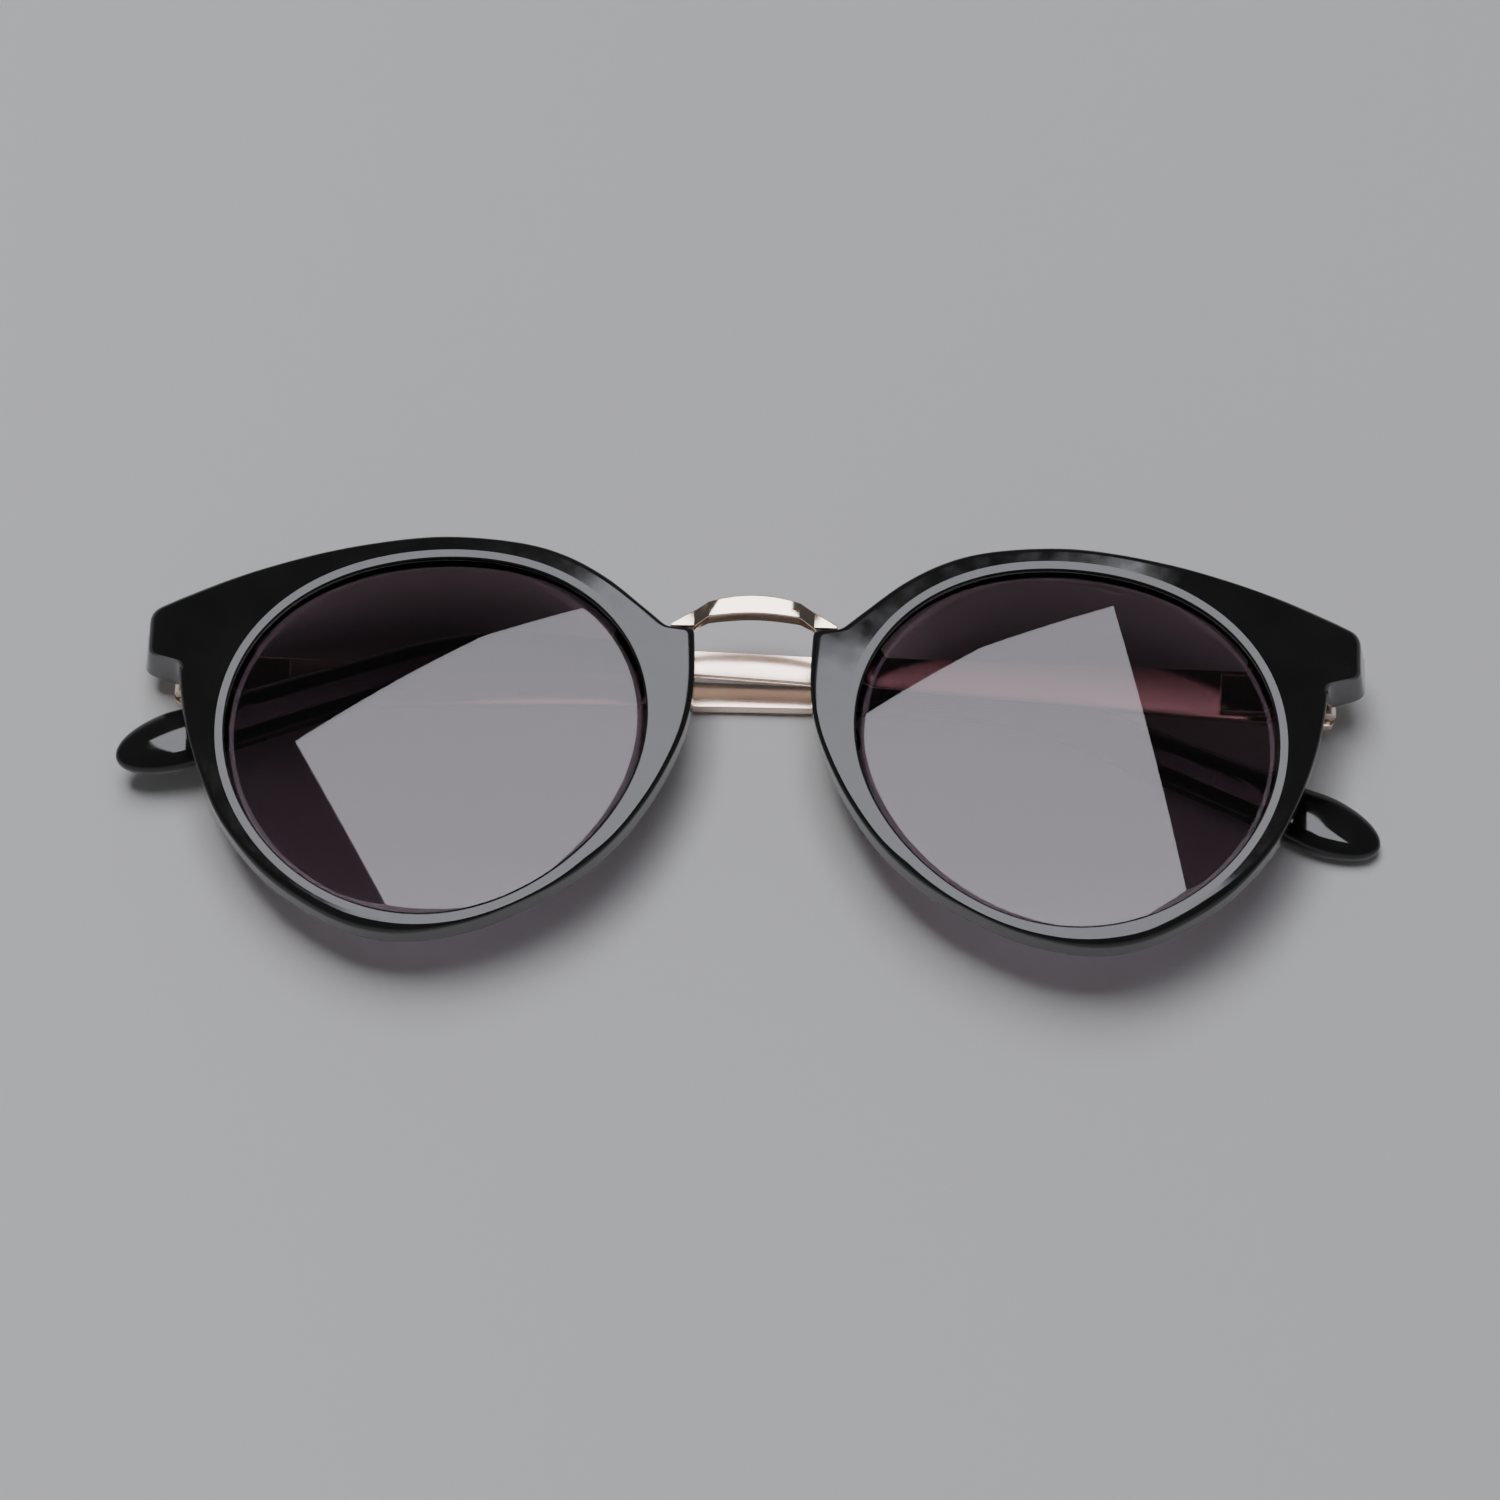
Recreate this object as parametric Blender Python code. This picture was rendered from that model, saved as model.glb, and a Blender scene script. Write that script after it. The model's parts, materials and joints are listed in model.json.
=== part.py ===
"""Round sunglasses with a metal bridge, folded and lying on their back.

The design frame, in millimetres: +X to the right of someone who looks at the front, which is the
wearer's left; +Y backward, away from the front; +Z up the front. The front's face is at Y = 0.
A master empty lays the folded glasses down: their front looks up and their rims' lower edges
are towards -Y. The origin is then under the middle of the glasses, on the surface they lie on.
"""

import math

import bmesh
import bpy
from mathutils import Matrix, Vector

MM = 0.001
GAP = 0.3  # clearance between neighbouring pieces

# Front: rims and lenses. A rim's own plane has u outward, towards the temple, and z up.
LENS_CENTRE_X = 36.4
LENS_MEAN_RADIUS = 23.1
LENS_COSINES = (0.1, 1.12, 0.0)  # of once, twice and three times the angle
LENS_SINES = (0.5, -0.61, 0.52)
LENS_THICKNESS = 1.6
LENS_DEPTH = 0.9  # of the lens's mid-surface, at its centre
LENS_BASE_RADIUS = 260.0
GROOVE_DEPTH = 0.8
OPENING_BEVEL = (0.35, 0.9)  # width and depth of the slope in front of the lens
RING_WIDTH = 1.4  # flat ring around the lens opening
FRONT_CHAMFER = (0.7, 0.8)
BACK_CHAMFER = (0.6, 0.7)
BACK_OPENING_CHAMFER = 0.5
STEP_SHARE = 0.6  # of a rim's width, where the back steps down to the outer wall
RIM_THICKNESS = 4.2
ENDPIECE_THICKNESS = 9.4
ENDPIECE_START_U = 25.5
WRAP_START_U = 14.0
WRAP_ANGLE = math.radians(7.0)
WRAP_Z = (-4.0, 8.0)  # the front falls back fully above the second, and not at all below the first

# Corners of a rim's outline (u, z): the ledge under the bridge and the endpiece.
LEDGE_INNER = (-26.3, 14.2)
LEDGE_OUTER = (-29.5, 14.0)
ENDPIECE_TOP = (33.8, 15.4)
ENDPIECE_BOTTOM = (33.8, 10.1)
NOTCH = (30.2, 8.9)
RIM_TOP = ((-23.5, 16.6), (-19.2, 20.1), (-14.6, 22.7), (-9.7, 24.2), (-3.0, 24.9), (3.0, 24.7),
           (10.7, 23.4), (18.5, 21.4), (25.0, 19.4), (30.3, 17.3))
RIM_BOTTOM = ((29.7, 4.6), (28.6, -0.5), (26.7, -6.0), (23.9, -11.6), (19.2, -17.2), (13.5, -21.3),
              (8.0, -23.7), (2.0, -24.3), (-5.0, -22.9), (-11.5, -20.0), (-16.8, -16.6),
              (-21.4, -12.2), (-24.9, -7.2), (-27.5, -2.0), (-29.1, 2.8), (-29.7, 8.0))

# Bridge: a bar on the two ledges, with a lug behind each rim
BRIDGE_FRONT = 0.5
BRIDGE_BACK = 2.9
BRIDGE_MIDDLE_X = 5.35
BRIDGE_SHOULDER_X = 6.9
BRIDGE_END_X = 9.7
BRIDGE_TOP_Z = 18.3
BRIDGE_DROPS = (1.6, 0.9, 0.25)  # of the top edge, at the shoulder, the middle's end and halfway
BRIDGE_END_RISE = (0.5, 0.45)  # of the end's top and the shoulder's underside over the ledge
BRIDGE_UNDER_Z = (15.5, 16.0)  # the underside, at the middle's end and in the middle
NECK_X = (7.4, 8.8)  # what joins the bar to a lug, over the ledge
NECK_Z = (14.75, 15.1)
NECK_Y = (2.4, 5.2)
LUG_X = (7.4, 13.0)
LUG_Z = (8.8, 15.9)
LUG_Y = (4.5, 5.7)
LUG_SCREW_X = 10.2
LUG_SCREW_Z = (10.2, 12.8)
LUG_SCREW_START_Y = 3.0
RIM_HOLE_Y = (2.6, 4.8)
LUG_HOLE_Y = (4.0, 6.2)

# Small screws, which all have the same shank, head and hole
SCREW_RADIUS = 0.55
SCREW_HEAD_RADIUS = 1.1
SCREW_HOLE_RADIUS = 0.9

# Nose pads: a squashed ball with a flat side on the rim
PAD_CENTRE = (10.6, 5.0, 3.4)
PAD_RADII = (2.0, 2.1, 4.6)
PAD_LEAN = math.radians(-20.0)

# Hinges
HINGE_X = 66.5
HINGE_Y = 11.2
HINGE_Z = 11.4
KNUCKLE_RADIUS = 1.5
KNUCKLE_LENGTH = 1.55  # of each of a plate's two; a leaf's one is between them
HINGE_LENGTH = 5.4
HINGE_SCREW_RADIUS = 0.65
HINGE_SCREW_HEAD_RADIUS = 1.3
WEB_OFFSET = (0.6, 1.4)  # from the hinge axis to a web's two faces
WEB_REACH = 2.7
PLATE_X = (61.4, 64.5)
PLATE_RISE = 2.5
PLATE_THICKNESS = 1.0
PLATE_SCREW_X = 62.9
PLATE_SCREW_RISE = 1.35
PLATE_SCREW_LENGTH = 2.2  # of the part inside the endpiece
PLATE_HOLE_Y = (6.6, 10.0)
LEAF_S = (2.4, 12.0)  # along the temple, from the hinge axis
LEAF_OFFSET = (0.5, 1.5)  # outward of the hinge axis
LEAF_RISE = 2.3

# Temples: s is the distance behind the hinge axis when the temple is open
BAR_OFFSET = 2.5  # of the bar's middle, outward of the hinge axis
BAR_THICKNESS = 1.4
BAR_HEIGHTS = ((-1.6, 6.0), (4.0, 6.4), (32.0, 4.8), (62.0, 3.3), (76.0, 3.0))
TANG_END = 88.0
TANG_SIZE = (0.8, 1.6)
TIP_START = 76.3
BEND_START = 91.0
BEND_RADIUS = 40.0
BEND_ANGLE = math.radians(22.0)
TIP_SIZES = ((76.3, 2.9, 4.0), (91.0, 3.1, 4.6), (106.4, 3.4, 5.6), (124.0, 3.7, 6.6),
             (134.0, 3.8, 7.3), (138.0, 3.6, 6.6), (141.2, 2.7, 4.4), (142.6, 1.6, 2.2),
             (143.0, 0.7, 1.0))
BEND_STATIONS = (94.8, 98.6, 102.5, 115.0)  # more rings of the tip, where it bends

# Folded pose. The wearer's left temple is folded first and lies inside the right one.
LEFT_FOLD = math.radians(92.5)
RIGHT_FOLD = math.radians(89.0)
LEFT_RISE = math.radians(1.7)
RIGHT_RISE = math.radians(-0.2)

# Lying pose
LIE_BACK = math.radians(89.8)
LIE_ROLL = math.radians(-1.55)

SIDES = {"left": 1, "right": -1}


def clear_scene():
    for obj in list(bpy.data.objects):
        bpy.data.objects.remove(obj, do_unlink=True)


def make_material(name, color, roughness, metallic=0.0, transmission=0.0):
    material = bpy.data.materials.new(name)
    material.use_nodes = True
    shader = material.node_tree.nodes["Principled BSDF"]
    shader.inputs["Base Color"].default_value = (*color, 1.0)
    shader.inputs["Roughness"].default_value = roughness
    shader.inputs["Metallic"].default_value = metallic
    shader.inputs["Transmission Weight"].default_value = transmission
    material.diffuse_color = (*color, 1.0)
    return material


def make_empty(name, location=(0, 0, 0), rotation=(0, 0, 0), parent=None):
    empty = bpy.data.objects.new(name, None)
    empty.empty_display_size = 0.01
    empty.location = Vector(location) * MM
    empty.rotation_euler = rotation
    empty.parent = parent
    bpy.context.collection.objects.link(empty)
    return empty


def make_object(name, points, faces, material, parent, sharp_angle=30.0):
    """An object from points in millimetres. Its faces are turned outward."""
    mesh = bpy.data.meshes.new(name)
    mesh.from_pydata([Vector(p) * MM for p in points], [], faces)
    shape = bmesh.new()
    shape.from_mesh(mesh)
    bmesh.ops.recalc_face_normals(shape, faces=shape.faces)
    if shape.calc_volume(signed=True) < 0:
        bmesh.ops.reverse_faces(shape, faces=shape.faces)
    shape.to_mesh(mesh)
    shape.free()
    mesh.shade_smooth()
    mesh.set_sharp_from_angle(angle=math.radians(sharp_angle))
    obj = bpy.data.objects.new(name, mesh)
    obj.parent = parent
    if material:
        mesh.materials.append(material)
    bpy.context.collection.objects.link(obj)
    return obj


def loft(rings, closed=False):
    """(points, faces) of a skin over rings of equally many points: a loop of rings, or a capped row."""
    count = len(rings[0])
    points = [p for ring in rings for p in ring]
    faces = []
    for i in range(len(rings) if closed else len(rings) - 1):
        a, b = i * count, (i + 1) % len(rings) * count
        for k in range(count):
            n = (k + 1) % count
            faces.append((a + k, a + n, b + n, b + k))
    if not closed:
        faces.append(tuple(range(count)))
        faces.append(tuple(range(len(points) - count, len(points))))
    return points, faces


def prism(outline, low, high, place):
    """(points, faces) of an outline of (a, b) pairs, extruded from low to high; place makes (x, y, z)."""
    return loft([[place(a, b, c) for a, b in outline] for c in (low, high)])


def along_y(a, b, c):
    return a, c, b


def along_z(a, b, c):
    return a, b, c


def circle(centre, radius, count=16):
    step = 2 * math.pi / count
    return [
        (centre[0] + radius * math.cos(i * step), centre[1] + radius * math.sin(i * step))
        for i in range(count)
    ]


def rectangle(a, b):
    return [(a[0], b[0]), (a[1], b[0]), (a[1], b[1]), (a[0], b[1])]


def cut_or_join(obj, operation, name, shape):
    """Cuts a shape from obj, or joins one to it, with a Boolean modifier and a hidden helper."""
    helper = make_object(name, *shape, None, obj.parent)
    helper.rotation_euler = obj.rotation_euler
    helper.hide_render = True
    helper.display_type = "WIRE"
    modifier = obj.modifiers.new(name, "BOOLEAN")
    modifier.operation = operation
    modifier.solver = "EXACT"
    modifier.object = helper


def spline(points, steps):
    """Points along a Catmull-Rom curve through the given ones, steps to a span, the last one left out."""
    ends = [points[0], *points, points[-1]]
    curve = []
    for i in range(len(points) - 1):
        p = [Vector(q) for q in ends[i : i + 4]]
        for k in range(steps):
            t = k / steps
            curve.append(tuple(0.5 * (
                2 * p[1] + (p[2] - p[0]) * t
                + (2 * p[0] - 5 * p[1] + 4 * p[2] - p[3]) * t**2
                + (3 * p[1] - p[0] - 3 * p[2] + p[3]) * t**3
            )))
    return curve


def lens_radius(angle):
    waves = zip(LENS_COSINES, LENS_SINES)
    return LENS_MEAN_RADIUS + sum(
        c * math.cos(k * angle) + s * math.sin(k * angle) for k, (c, s) in enumerate(waves, 1)
    )


def lens_depth(radius):
    return LENS_DEPTH + radius**2 / (2 * LENS_BASE_RADIUS)


def wrap_depth(u, z):
    """How far the front's face falls back towards the endpiece."""
    return max(0.0, u - WRAP_START_U) * math.tan(WRAP_ANGLE) * ramp(z, *WRAP_Z)


def ramp(value, low, high):
    t = min(max((value - low) / (high - low), 0.0), 1.0)
    return t * t * (3 - 2 * t)


def rim_outline():
    """(u, z, depth of the outer wall's back edge) round a rim."""
    top = spline([LEDGE_INNER, *RIM_TOP, ENDPIECE_TOP], 2)
    bottom = spline([(NOTCH[0] - 0.05, NOTCH[1] - 0.4), *RIM_BOTTOM, LEDGE_OUTER], 2)
    outline = []
    for u, z in top:
        deeper = ramp(u, ENDPIECE_START_U, ENDPIECE_TOP[0] - 2.0)
        outline.append((u, z, RIM_THICKNESS + (ENDPIECE_THICKNESS - RIM_THICKNESS) * deeper))
    for corner in (ENDPIECE_TOP, ENDPIECE_BOTTOM, NOTCH):
        outline.append((*corner, ENDPIECE_THICKNESS))
    outline += [(u, z, RIM_THICKNESS) for u, z in bottom]
    outline.append((*LEDGE_OUTER, RIM_THICKNESS))
    return outline


def rim_section(u, z, back):
    """A rim's cross-section from the lens opening to the outline point (u, z), as (u, depth, z)."""
    angle = math.atan2(z, u)
    radius = lens_radius(angle)
    inner = Vector((radius * math.cos(angle), radius * math.sin(angle)))
    outward = Vector((u, z)) - inner
    width = outward.length
    outward.normalize()
    front = wrap_depth(u, z)
    groove = lens_depth(radius)
    half = LENS_THICKNESS / 2 + GAP
    step = width * STEP_SHARE
    if u > ENDPIECE_START_U and z > 0:
        step = (ENDPIECE_START_U - inner.x) / outward.x
    step = min(max(step, 0.9), width - 1.6)
    profile = (
        (0.0, OPENING_BEVEL[1]),
        (OPENING_BEVEL[0], 0.0),
        (RING_WIDTH, 0.0),
        (width - FRONT_CHAMFER[0], front),
        (width, front + FRONT_CHAMFER[1]),
        (width, back - BACK_CHAMFER[1]),
        (width - BACK_CHAMFER[0], back),
        (step + BACK_OPENING_CHAMFER, back),
        (step, RIM_THICKNESS),
        (BACK_OPENING_CHAMFER, RIM_THICKNESS),
        (0.0, RIM_THICKNESS - BACK_OPENING_CHAMFER),
        (0.0, groove + half),
        (GROOVE_DEPTH, groove + half),
        (GROOVE_DEPTH, groove - half),
        (0.0, groove - half),
    )
    section = []
    for w, depth in profile:
        point = inner + outward * w
        section.append((point.x, depth, point.y))
    return section


def mirrored(points, side, shift=0.0):
    return [(side * (x + shift), y, z) for x, y, z in points]


def screw_hole(x, z, start, end):
    return prism(circle((x, z), SCREW_HOLE_RADIUS, 12), start, end, along_y)


def make_rim(name, side, material, parent):
    points, faces = loft([rim_section(*corner) for corner in rim_outline()], closed=True)
    rim = make_object(name, mirrored(points, side, LENS_CENTRE_X), faces, material, parent)
    for i, z in enumerate(LUG_SCREW_Z, 1):
        hole = screw_hole(side * LUG_SCREW_X, z, *RIM_HOLE_Y)
        cut_or_join(rim, "DIFFERENCE", f"{name}_bridge_screw_hole_{i}", hole)
    for i, rise in enumerate((PLATE_SCREW_RISE, -PLATE_SCREW_RISE), 1):
        hole = screw_hole(side * PLATE_SCREW_X, HINGE_Z + rise, *PLATE_HOLE_Y)
        cut_or_join(rim, "DIFFERENCE", f"{name}_hinge_screw_hole_{i}", hole)
    return rim


def make_lens(name, side, material, parent):
    """A slightly domed lens, whose edge lies in the rim's groove."""
    count = 48
    half = LENS_THICKNESS / 2
    rings = []
    for face, shares in ((-half, (0.02, 0.45, 0.8, 1.0)), (half, (1.0, 0.8, 0.45, 0.02))):
        for share in shares:
            ring = []
            for i in range(count):
                angle = 2 * math.pi * i / count
                radius = share * (lens_radius(angle) + GROOVE_DEPTH - GAP)
                x, z = radius * math.cos(angle), radius * math.sin(angle)
                ring.append((x, lens_depth(radius) + face, z))
            rings.append(ring)
    points, faces = loft(rings)
    return make_object(name, mirrored(points, side, LENS_CENTRE_X), faces, material, parent)


def make_bridge(name, material, parent):
    shares = (BRIDGE_SHOULDER_X, BRIDGE_MIDDLE_X, BRIDGE_MIDDLE_X / 2)
    half = [(BRIDGE_END_X, LEDGE_INNER[1] + BRIDGE_END_RISE[0])]
    half += [(x, BRIDGE_TOP_Z - drop) for x, drop in zip(shares, BRIDGE_DROPS)]
    under = [
        (BRIDGE_MIDDLE_X, BRIDGE_UNDER_Z[0]),
        (BRIDGE_SHOULDER_X, LEDGE_INNER[1] + BRIDGE_END_RISE[1]),
    ]
    outline = (
        half
        + [(0.0, BRIDGE_TOP_Z)]
        + [(-x, z) for x, z in reversed(half)]
        + [(-x, z) for x, z in reversed(under)]
        + [(0.0, BRIDGE_UNDER_Z[1])]
        + under
    )
    bridge = make_object(
        name, *prism(outline, BRIDGE_FRONT, BRIDGE_BACK, along_y), material, parent
    )
    for word, side in SIDES.items():
        neck = prism(rectangle([side * x for x in NECK_X], NECK_Z), *NECK_Y, along_y)
        cut_or_join(bridge, "UNION", f"{name}_{word}_neck", neck)
        lug = prism(rectangle([side * x for x in LUG_X], LUG_Z), *LUG_Y, along_y)
        cut_or_join(bridge, "UNION", f"{name}_{word}_lug", lug)
        for i, z in enumerate(LUG_SCREW_Z, 1):
            hole = screw_hole(side * LUG_SCREW_X, z, *LUG_HOLE_Y)
            cut_or_join(bridge, "DIFFERENCE", f"{name}_{word}_hole_{i}", hole)
    return bridge


def make_screw(name, centre, axis, shank, head, material, parent):
    """A screw of turned rings along an axis word; shank and head are (start, end, radius)."""
    place = {"y": along_y, "z": along_z}[axis]
    rings = []
    for position, radius in (
        (shank[0], shank[2]), (shank[1], shank[2]), (head[0], head[2]),
        ((head[0] + 2 * head[1]) / 3, head[2]), (head[1], 0.7 * head[2]),
    ):
        rings.append([place(a, b, position) for a, b in circle(centre, radius, 12)])
    return make_object(name, *loft(rings), material, parent)


def make_nose_pad(name, side, material, parent):
    """A moulded pad on the back of the rim's nose side, flat where it meets the rim."""
    shape = bmesh.new()
    bmesh.ops.create_uvsphere(shape, u_segments=16, v_segments=10, radius=1.0)
    floor = RIM_THICKNESS + GAP
    turn = Matrix.Rotation(PAD_LEAN, 3, "Y")
    points = []
    for vertex in shape.verts:
        x, y, z = turn @ (vertex.co * Vector(PAD_RADII)) + Vector(PAD_CENTRE)
        points.append((side * x, max(y, floor), z))
    faces = [[v.index for v in face.verts] for face in shape.faces]
    shape.free()
    pad = make_object(name, points, faces, material, parent)
    tidy = bmesh.new()
    tidy.from_mesh(pad.data)
    bmesh.ops.dissolve_limit(tidy, angle_limit=0.002, verts=tidy.verts, edges=tidy.edges)
    tidy.to_mesh(pad.data)
    tidy.free()
    return pad


def knuckle_outline():
    """A barrel's outline round the hinge axis, with a web on its outward side that runs to WEB_REACH."""
    start = math.acos(WEB_OFFSET[0] / KNUCKLE_RADIUS)
    end = 2 * math.pi - math.acos(WEB_OFFSET[1] / KNUCKLE_RADIUS)
    steps = 14
    arc = [start + (end - start) * i / steps for i in range(steps + 1)]
    outline = [(KNUCKLE_RADIUS * math.cos(a), KNUCKLE_RADIUS * math.sin(a)) for a in arc]
    return outline + [(WEB_OFFSET[1], WEB_REACH), (WEB_OFFSET[0], WEB_REACH)]


def make_hinge_half(name, plate, barrels, outline, material, parent):
    """A plate with a barrel on the hinge axis for each (low, high), bored for the hinge screw."""
    half = make_object(name, *plate, material, parent)
    for i, (low, high) in enumerate(barrels, 1):
        cut_or_join(half, "UNION", f"{name}_barrel_{i}", prism(outline, low, high, along_z))
    bore = prism(circle((0, 0), HINGE_SCREW_RADIUS + GAP), -5.0, 5.0, along_z)
    cut_or_join(half, "DIFFERENCE", f"{name}_bore", bore)
    return half


def make_hinge(word, side, metal, axis, temple):
    """The plate on the endpiece, its screws, the hinge screw, and the leaf on the temple."""
    half = HINGE_LENGTH / 2
    inner = half - KNUCKLE_LENGTH
    low = ENDPIECE_THICKNESS + GAP - HINGE_Y
    high = low + PLATE_THICKNESS
    plate_x = [side * (x - HINGE_X) for x in PLATE_X]
    plate = prism(rectangle(plate_x, (low, high)), -PLATE_RISE, PLATE_RISE, along_z)
    name = f"{word}_hinge_plate"
    outline = [(-side * along, -outward) for outward, along in knuckle_outline()]
    plate = make_hinge_half(name, plate, ((inner, half), (-half, -inner)), outline, metal, axis)
    for i, rise in enumerate((PLATE_SCREW_RISE, -PLATE_SCREW_RISE), 1):
        centre = (side * (PLATE_SCREW_X - HINGE_X), rise)
        hole = screw_hole(*centre, low - 0.5, high + 0.5)
        cut_or_join(plate, "DIFFERENCE", f"{name}_hole_{i}", hole)
        make_screw(
            f"{word}_plate_screw_{i}", centre, "y", (low - PLATE_SCREW_LENGTH, high + GAP, SCREW_RADIUS),
            (high + GAP, high + 0.65, SCREW_HEAD_RADIUS), metal, axis,
        )
    make_screw(
        f"{word}_hinge_screw", (0, 0), "z", (-half - 0.2, half + GAP, HINGE_SCREW_RADIUS),
        (half + GAP, half + 0.9, HINGE_SCREW_HEAD_RADIUS), metal, axis,
    )
    leaf = prism(rectangle([side * e for e in LEAF_OFFSET], LEAF_S), -LEAF_RISE, LEAF_RISE, along_z)
    outline = [(side * outward, along) for outward, along in knuckle_outline()]
    reach = inner - GAP
    make_hinge_half(f"{word}_hinge_leaf", leaf, ((-reach, reach),), outline, metal, temple)


def bar_section(s, thickness, height, side):
    e0, e1 = BAR_OFFSET - thickness / 2, BAR_OFFSET + thickness / 2
    z = height / 2
    return [(side * e0, s, -z), (side * e1, s, -z), (side * e1, s, z), (side * e0, s, z)]


def make_bar(name, side, rise, material, temple):
    """The metal temple bar, with the tang that the tip is pushed on."""
    rings = [bar_section(s, BAR_THICKNESS, height, side) for s, height in BAR_HEIGHTS]
    rings += [bar_section(s, *TANG_SIZE, side) for s in (BAR_HEIGHTS[-1][0], TANG_END)]
    bar = make_object(name, *loft(rings), material, temple)
    bar.rotation_euler = (rise, 0, 0)
    return bar


def tip_path(s):
    """((distance behind the axis, drop), slope angle) of the tip's middle line at s."""
    turned = min(max((s - BEND_START) / BEND_RADIUS, 0.0), BEND_ANGLE)
    past = s - BEND_START - turned * BEND_RADIUS
    behind = BEND_START + BEND_RADIUS * math.sin(turned) + past * math.cos(turned)
    drop = BEND_RADIUS * (1 - math.cos(turned))
    if turned >= BEND_ANGLE:
        drop += past * math.sin(turned)
    return (behind, drop), turned


def tip_ring(s, thickness, height, side, power=2.6, count=16):
    """A rounded oblong ring round the tip's middle line."""
    (behind, drop), turned = tip_path(s)
    ring = []
    for i in range(count):
        angle = 2 * math.pi * i / count
        c, d = math.cos(angle), math.sin(angle)
        e = math.copysign(abs(c) ** (2 / power), c) * thickness / 2
        z = math.copysign(abs(d) ** (2 / power), d) * height / 2
        ring.append((
            side * (BAR_OFFSET + e),
            behind + z * math.sin(turned),
            z * math.cos(turned) - drop,
        ))
    return ring


def make_tip(name, side, rise, material, temple):
    """The black temple tip: a curved loft with a blind socket for the bar's tang."""
    socket = [size + 3 * GAP for size in TANG_SIZE]
    rings = [tip_ring(s, *socket, side, power=4.0) for s in (TANG_END + GAP, TIP_START)]
    for s in sorted({s for s, _, _ in TIP_SIZES} | set(BEND_STATIONS)):
        after = next(i for i, size in enumerate(TIP_SIZES) if s <= size[0])
        a, b = TIP_SIZES[max(after - 1, 0)], TIP_SIZES[after]
        t = (s - a[0]) / (b[0] - a[0]) if b[0] > a[0] else 0.0
        rings.append(tip_ring(s, a[1] + (b[1] - a[1]) * t, a[2] + (b[2] - a[2]) * t, side))
    tip = make_object(name, *loft(rings), material, temple)
    tip.rotation_euler = (rise, 0, 0)
    return tip


def stand_on_floor(master):
    """Moves the master so that the glasses stand on Z = 0, with the origin under their middle."""
    bpy.context.view_layer.update()
    graph = bpy.context.evaluated_depsgraph_get()
    low, high = Vector((1e9,) * 3), Vector((-1e9,) * 3)
    for obj in bpy.data.objects:
        if obj.type != "MESH" or obj.hide_render:
            continue
        evaluated = obj.evaluated_get(graph)
        for vertex in evaluated.data.vertices:
            point = evaluated.matrix_world @ vertex.co
            low = Vector(map(min, low, point))
            high = Vector(map(max, high, point))
    master.location -= Vector(((low.x + high.x) / 2, (low.y + high.y) / 2, low.z))
    bpy.context.view_layer.update()


def main():
    clear_scene()
    black = make_material("gloss_black_acetate", (0.012, 0.012, 0.013), 0.12)
    gold = make_material("pale_gold_metal", (0.86, 0.68, 0.55), 0.18, metallic=1.0)
    tint = make_material("brown_tinted_lens", (0.16, 0.09, 0.10), 0.03, transmission=0.7)
    steel = make_material("screw_steel", (0.72, 0.66, 0.60), 0.3, metallic=1.0)

    master = make_empty("sunglasses", rotation=(-LIE_BACK, LIE_ROLL, 0))
    front = make_empty("front", parent=master)
    make_bridge("bridge", gold, front)
    for word, side in SIDES.items():
        make_rim(f"{word}_rim", side, black, front)
        make_lens(f"{word}_lens", side, tint, front)
        make_nose_pad(f"{word}_nose_pad", side, black, front)
        for i, z in enumerate(LUG_SCREW_Z, 1):
            make_screw(
                f"{word}_bridge_screw_{i}", (side * LUG_SCREW_X, z), "y",
                (LUG_SCREW_START_Y, LUG_Y[1] + GAP, SCREW_RADIUS),
                (LUG_Y[1] + GAP, LUG_Y[1] + 0.9, SCREW_HEAD_RADIUS), steel, front,
            )
        fold, rise = (LEFT_FOLD, LEFT_RISE) if side > 0 else (-RIGHT_FOLD, RIGHT_RISE)
        place = (side * HINGE_X, HINGE_Y, HINGE_Z)
        axis = make_empty(f"{word}_hinge_axis", place, parent=front)
        temple = make_empty(f"{word}_temple_axis", place, (0, 0, fold), parent=front)
        make_hinge(word, side, gold, axis, temple)
        make_bar(f"{word}_temple_bar", side, rise, gold, temple)
        make_tip(f"{word}_temple_tip", side, rise, black, temple)
    stand_on_floor(master)


main()
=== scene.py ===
"""Looks for the folded round sunglasses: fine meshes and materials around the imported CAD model.

Shapes are worked out in the design frame, in millimetres: +X towards the wearer's left, +Y backward
from the front's face, +Z up the front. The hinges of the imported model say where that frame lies.
"""

import json
import math

import bpy
import numpy as np
from mathutils import Matrix, Vector


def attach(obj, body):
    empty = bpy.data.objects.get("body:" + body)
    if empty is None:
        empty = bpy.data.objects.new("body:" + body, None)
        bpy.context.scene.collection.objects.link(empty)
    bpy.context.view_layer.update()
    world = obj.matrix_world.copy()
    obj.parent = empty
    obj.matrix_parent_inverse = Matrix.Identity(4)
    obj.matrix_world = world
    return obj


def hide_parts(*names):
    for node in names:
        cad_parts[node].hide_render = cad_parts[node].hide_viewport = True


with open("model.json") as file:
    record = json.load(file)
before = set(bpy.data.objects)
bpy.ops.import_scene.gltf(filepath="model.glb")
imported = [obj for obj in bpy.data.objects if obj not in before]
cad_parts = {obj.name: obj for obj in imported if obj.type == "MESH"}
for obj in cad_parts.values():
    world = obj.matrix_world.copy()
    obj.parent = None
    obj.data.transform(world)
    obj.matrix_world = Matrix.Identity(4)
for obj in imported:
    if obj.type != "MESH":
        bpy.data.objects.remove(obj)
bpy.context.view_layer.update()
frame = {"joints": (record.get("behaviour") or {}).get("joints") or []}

MM = 0.001
SIDES = {"left": 1, "right": -1}
GAP = 0.3  # clearance between neighbouring CAD pieces
SKIN = 0.02  # clearance between visual pieces that lie against each other

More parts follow.
